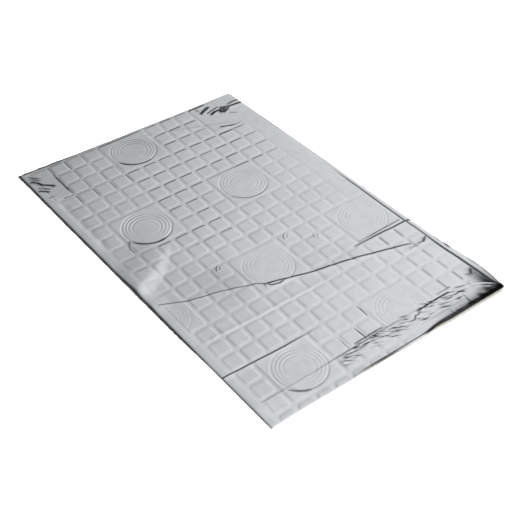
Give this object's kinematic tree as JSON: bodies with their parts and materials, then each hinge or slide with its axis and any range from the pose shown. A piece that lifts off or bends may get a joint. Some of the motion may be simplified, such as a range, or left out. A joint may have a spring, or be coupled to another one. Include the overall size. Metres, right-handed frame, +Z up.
{
  "type": "vibration-damping mat",
  "caption": "Thin rectangular self-adhesive mat: embossed aluminium foil on a black butyl core, on a peel-off release liner.",
  "frame": {"origin": "middle of the underside of the release liner, which the mat rests on", "axes": "+X along the long side, +Y across the mat towards the bare foil margin, +Z up through the foil face"},
  "size_m": [0.75, 0.488, 0.003],
  "materials": {
    "foil": "satin rolled foil, embossed and creased",
    "butyl": "matte, slightly tacky",
    "liner_paper": "smooth siliconised paper"
  },
  "bodies": {
    "liner": {"release_liner": "liner_paper"},
    "mat": {"damping_core": "butyl", "foil_facing": "foil"}
  },
  "joints": [
    {"name": "mat_lift", "type": "slide", "parent": "liner", "child": "mat", "axis": [0, 0, 1], "range_m": [0, 0.06]}
  ]
}
